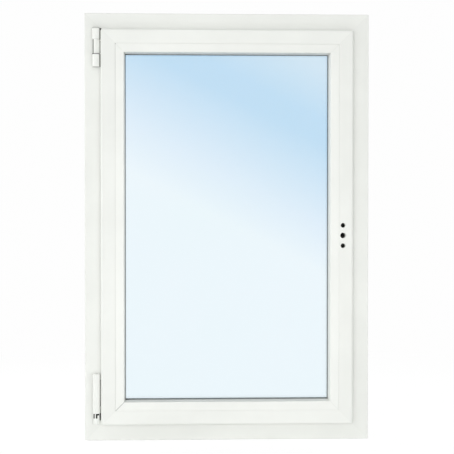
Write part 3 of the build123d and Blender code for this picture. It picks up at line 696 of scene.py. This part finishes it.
def screw_thread(name, side, material):
    """The M5 thread for a handle screw, in a bore of the gear case.

    The skin of a ring, over the angle a and the way round its section. Inside, the radius is the
    thread's root less its height times a triangle wave of (depth / pitch - a / turn). Outside, the
    ring is plain, and lies close to the bore's wall.
    """
    x, _, z = middle_of("gear_follower")
    z += side * HANDLE_SCREW_PITCH / 2
    front, back = (corner[1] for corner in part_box("gear_follower"))
    angles = round_angles(THREAD_ANGLES)
    depth = np.linspace(front + THREAD_INSET, back - THREAD_INSET, THREAD_STEPS)[None, :]
    wave = np.abs(((depth - front) / THREAD_PITCH - angles / (2 * np.pi)) % 1.0 - 0.5) * 2
    plain = np.full((THREAD_ANGLES, 2), THREAD_OUTER)
    radius = np.hstack([THREAD_ROOT - THREAD_HEIGHT * wave, plain])
    depth = np.hstack([depth, depth[:, -1:], depth[:, :1]]) + 0 * radius
    points = np.stack([x + radius * np.cos(angles), depth, z + radius * np.sin(angles)], axis=-1)
    add_piece(name, points, ring_quads(*radius.shape), material)


def socket_bevel(material):
    """The worn bevel round the gear follower's square socket.

    A square ring whose section is a triangle: from the socket's edge, half its side out, the bevel
    falls back a bevel's width into the socket. Corners lie at (+-half, +-half) for each point
    (half, depth) of the section.
    """
    x, _, z = middle_of("gear_follower")
    half = SOCKET_SIDE / 2 - BEVEL_PLAY - np.array([0, BEVEL_WIDTH, 0])
    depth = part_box("gear_follower")[0][1] + np.array([0, BEVEL_WIDTH, BEVEL_WIDTH])
    across = SQUARE_CORNERS[:, :1] * half
    rise = SQUARE_CORNERS[:, 1:] * half
    points = np.stack([x + across, depth + 0 * across, z + rise], axis=-1)
    add_piece("socket_bevel", points, ring_quads(*across.shape), material)


def turned_ring(name, section, material):
    """A section of (radius, height) points turned about the top hinge's axis.

    Each point goes to (axis x + radius cos a, axis y + radius sin a, height) over the angle a.
    """
    x, y, _ = middle_of("top_hinge_pin")
    radius, height = np.array(section).T
    angles = round_angles(TURNED_ANGLES)
    points = np.stack([
        x + radius * np.cos(angles), y + radius * np.sin(angles), height + 0 * angles,
    ], axis=-1)
    add_piece(name, points, ring_quads(*points.shape[:2]), material)


def slip_bush(material):
    """The black bush under the top hinge's eye, a flat ring with a short skirt over the knuckle."""
    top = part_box("top_hinge_eye")[0][2] - BUSH_PLAY
    turned_ring("slip_bush", (
        (BUSH_BORE, top - BUSH_THICKNESS),
        (BUSH_OUTER - BUSH_SKIRT, top - BUSH_THICKNESS),
        (BUSH_OUTER - BUSH_SKIRT, top - BUSH_HEIGHT),
        (BUSH_OUTER, top - BUSH_HEIGHT),
        (BUSH_OUTER, top - BUSH_SKIRT),
        (BUSH_OUTER - BUSH_SKIRT, top),
        (BUSH_BORE, top),
    ), material)


def knuckle_cap(material):
    """The grey cap on the top hinge's upper knuckle, a disc with a quarter round rim. Its grey is
    partly the cap's plastic and partly painted shade, for the shade line above the knuckle.

    The rim lies at (flat + round cos a, shoulder + round sin a) over a quarter turn.
    """
    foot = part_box("top_hinge_bracket")[1][2] + BUSH_PLAY
    flat = CAP_OUTER - CAP_ROUND
    shoulder = foot + CAP_HEIGHT - CAP_ROUND
    rim = np.stack([
        flat + CAP_ROUND * np.cos(QUARTER_TURN), shoulder + CAP_ROUND * np.sin(QUARTER_TURN),
    ], axis=-1)
    section = np.vstack([(0.0, foot), (CAP_OUTER, foot), rim, (0.0, foot + CAP_HEIGHT)])
    turned_ring("knuckle_cap", section, material)


def butyl_line(name, end, material):
    """The black sealing line between the spacer and a pane, end 0 or 1 of the spacer's depth.

    A quarter round of (inset, depth) points, carried along the four sides. Each corner's point lies
    at x = +-(half the width - inset) and z = half the height +- (half the height - inset).
    """
    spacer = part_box("spacer_frame")
    face = spacer[0][2] + SPACER_HEIGHT
    inset = np.hstack([face - BUTYL_SUNK, face + BUTYL_RADIUS * np.sin(QUARTER_TURN)])
    run_in = np.hstack([BUTYL_SUNK, BUTYL_SUNK + BUTYL_RADIUS * np.cos(QUARTER_TURN)])
    depth = spacer[end][1] + (1 - 2 * end) * run_in
    x = SQUARE_CORNERS[:, :1] * (WINDOW_WIDTH / 2 - inset)
    z = WINDOW_HEIGHT / 2 + SQUARE_CORNERS[:, 1:] * (WINDOW_HEIGHT / 2 - inset)
    points = np.stack([x, depth + 0 * x, z], axis=-1)
    add_piece(name, points, ring_quads(*x.shape), material)


def spacer_slits(material):
    """The breathing slits in the spacer's inner face: two rows of small dark obrounds on each side.

    Each is an eight-sided prism on the outline (length / 2 cos a, width / 2 sin a), a hair proud of
    the face and as deep in it. Copies stand a pitch apart, from an origin along each side.
    """
    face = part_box("spacer_frame")[0][2] + SPACER_HEIGHT
    depth = middle_of("spacer_frame")[1]
    wide, high = WINDOW_WIDTH / 2, WINDOW_HEIGHT / 2
    angles = round_angles(SLIT_CORNERS)[:, 0]
    rows = np.array([-SLIT_ROW_OFFSET, SLIT_ROW_OFFSET])[:, None, None]
    across = rows + SLIT_WIDTH / 2 * np.sin(angles)
    rise = np.array([SLIT_PROUD, -SLIT_PROUD])[:, None, None]
    slits = []
    for origin, along, inward, half_length in (
        ((0, depth, face), (1, 0, 0), (0, 0, 1), wide - face),
        ((0, depth, WINDOW_HEIGHT - face), (1, 0, 0), (0, 0, -1), wide - face),
        ((face - wide, depth, high), (0, 0, 1), (1, 0, 0), high - face),
        ((wide - face, depth, high), (0, 0, 1), (-1, 0, 0), high - face),
    ):
        half_count = int(half_length / SLIT_PITCH) - 1
        starts = np.arange(-half_count, half_count + 1)[:, None, None, None] * SLIT_PITCH
        run = starts + SLIT_LENGTH / 2 * np.cos(angles)
        points = (
            np.array(origin) + run[..., None] * np.array(along)
            + across[..., None] * np.array((0, 1, 0)) + rise * np.array(inward)
        )
        slits.append(points.reshape(-1, 2 * SLIT_CORNERS, 3))
    points = np.concatenate(slits)
    front = np.arange(SLIT_CORNERS)
    onward = np.roll(front, -1)
    walls = np.stack([front, onward, onward + SLIT_CORNERS, front + SLIT_CORNERS], axis=-1)
    lid = np.array([(0, 1, 2, 3), (0, 3, 4, 7), (4, 5, 6, 7)])
    prism = np.concatenate([walls, lid, lid + SLIT_CORNERS])
    first_points = np.arange(len(points))[:, None, None] * 2 * SLIT_CORNERS
    quads = (first_points + prism).reshape(-1, 4)
    add_piece("spacer_slits", points, quads, material)


thread_steel = metal("cut_thread_steel", THREAD_STEEL, CUT_LINES, dull=0.3)
screw_thread("upper_screw_thread", 1, thread_steel)
screw_thread("lower_screw_thread", -1, thread_steel)
socket_bevel(metal("worn_bevel_steel", BEVEL_STEEL, CUT_LINES, dull=0.35))
slip_bush(hard_plastic("slip_bush_plastic", BUSH_BLACK))
knuckle_cap(hard_plastic("knuckle_cap_plastic", CAP_SHADE_GREY))
butyl = rubber("butyl_sealant", BUTYL_BLACK)
butyl_line("room_butyl_line", 0, butyl)
butyl_line("weather_butyl_line", 1, butyl)
spacer_slits(metal("slit_shadow", SLIT_GREY, ROLLED_LINES, dull=0.6))


def floor_finish():
    """White paper floor. Seen directly it is nearly white, with a faint shadow near the window.

    The share of plain glow grows from near to far with the distance from the window's foot. Through
    the glass the floor is all plain glow.
    """
    finish = Finish("studio_floor")
    paper = finish.shader("ShaderNodeBsdfDiffuse", Color=linear(PAPER_WHITE))
    shaded = finish.shader("ShaderNodeBsdfDiffuse", Color=FLOOR_PAPER)
    glow = finish.shader("ShaderNodeEmission", Strength=FLOOR_GLOW)
    near = finish.mix_shaders(FLOOR_SHADED_SHARE, glow, shaded)
    plain = finish.shader("ShaderNodeEmission", Strength=WHITE_LEVEL)
    away = finish.add("ShaderNodeVectorMath", operation="LENGTH")
    finish.join(finish.place, away.inputs[0])
    far = finish.spread(away.outputs["Value"], FLOOR_NEAR, FLOOR_FAR, 0.0, 1.0, smooth=True)
    through_glass = finish.add("ShaderNodeLightPath").outputs["Is Transmission Ray"]
    seen = finish.mix_shaders(finish.work("MAXIMUM", far, through_glass), near, plain)
    return finish.done(finish.show_to_camera(seen, paper))


def lay_floor():
    """A level floor under the window, a square in the plane z = 0."""
    corners = np.hstack([FLOOR_HALF * SQUARE_CORNERS, np.zeros((4, 1))])
    mesh = bpy.data.meshes.new("studio_floor")
    mesh.from_pydata(corners.tolist(), [], [(0, 1, 2, 3)])
    mesh.materials.append(floor_finish())
    floor = bpy.data.objects.new("studio_floor", mesh)
    bpy.context.scene.collection.objects.link(floor)


def surround():
    """White surroundings for the camera, and a plain level for everything that they light."""
    world = bpy.data.worlds.new("studio")
    bpy.context.scene.world = world
    work = ShaderWork(world)
    ambient = work.shader("ShaderNodeBackground", Color=AMBIENT_TINT, Strength=AMBIENT_LEVEL)
    white = work.shader("ShaderNodeBackground", Color=PLAIN_WHITE, Strength=WHITE_LEVEL)
    output = work.add("ShaderNodeOutputWorld")
    work.join(work.show_to_camera(white, ambient), output.inputs[0])


def facing(place, aim):
    """The turn and place that point a camera or lamp from one spot at another."""
    sight = Vector(aim) - Vector(place)
    return Matrix.Translation(place) @ sight.to_track_quat("-Z", "Y").to_matrix().to_4x4()


def softbox(name, place, wide, high, watts, aim=WINDOW_MIDDLE, mirrored=False):
    """A soft lamp that only lights, unless polished pieces mirror it too."""
    lamp = bpy.data.lights.new(name, "AREA")
    lamp.shape = "RECTANGLE"
    lamp.size = wide
    lamp.size_y = high
    lamp.energy = watts
    holder = bpy.data.objects.new(name, lamp)
    holder.matrix_world = facing(place, aim)
    holder.visible_camera = False
    holder.visible_transmission = False
    holder.visible_glossy = mirrored
    bpy.context.scene.collection.objects.link(holder)


def set_camera():
    """The photograph's viewpoint: 3 m away, a little left of the middle and just above it."""
    camera = bpy.data.cameras.new("photo_camera")
    camera.sensor_width = SENSOR_WIDTH
    camera.lens = FOCAL_PIXELS / PICTURE_PIXELS * SENSOR_WIDTH
    holder = bpy.data.objects.new("photo_camera", camera)
    roll = Matrix.Rotation(math.radians(CAMERA_ROLL), 4, "Z")
    holder.matrix_world = facing(CAMERA_PLACE, CAMERA_AIM) @ roll
    bpy.context.scene.collection.objects.link(holder)
    bpy.context.scene.camera = holder


lay_floor()
surround()
softbox("left_softbox", (-8.0, -0.8, 0.5), wide=2.4, high=2.4, watts=120.0, mirrored=True)
softbox("front_softbox", (0.0, -4.0, 0.6), wide=2.8, high=1.1, watts=30.5)
softbox("near_softbox", (-0.9, -2.4, 0.7), wide=1.4, high=1.0, watts=4.5)
softbox("top_softbox", (0.0, -1.6, 2.6), wide=2.0, high=1.0, watts=5.0)
softbox("low_softbox", (0.0, -0.8, 0.12), wide=1.6, high=0.16, watts=1.15, aim=SILL_MIDDLE)
softbox("back_left_softbox", (-4.0, 3.2, 1.2), wide=2.0, high=1.6, watts=90.0)
softbox("back_right_softbox", (4.0, 4.5, 1.2), wide=2.0, high=1.6, watts=50.0)
set_camera()
bpy.context.scene.view_settings.view_transform = "Standard"
